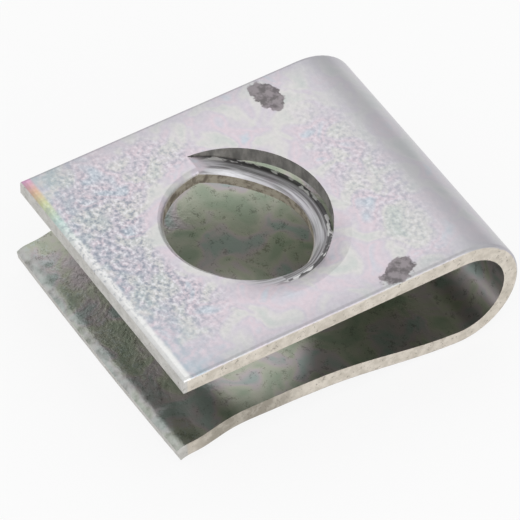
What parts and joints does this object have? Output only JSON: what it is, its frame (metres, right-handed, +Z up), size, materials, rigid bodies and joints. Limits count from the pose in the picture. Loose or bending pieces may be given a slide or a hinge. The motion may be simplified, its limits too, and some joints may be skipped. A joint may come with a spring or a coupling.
{
  "type": "u clip speed nut",
  "caption": "Folded sheet steel U clip: its flat upper leg has a thread impression with a helical rim, and its dished lower leg a lead-in lip.",
  "frame": {"origin": "where the thread's axis meets the outer face of the upper leg", "axes": "+Y from the open edge towards the bend, along the clip's length; +X across its width; +Z up out of the upper leg, which leans about 1.2 degrees because the clip lies on its bend and its lip"},
  "size_m": [0.0142, 0.018, 0.006],
  "materials": {
    "zinc_plate": "zinc plated with a clear, slightly iridescent passivation"
  },
  "bodies": {
    "root": {"clip": "zinc_plate"}
  },
  "joints": []
}
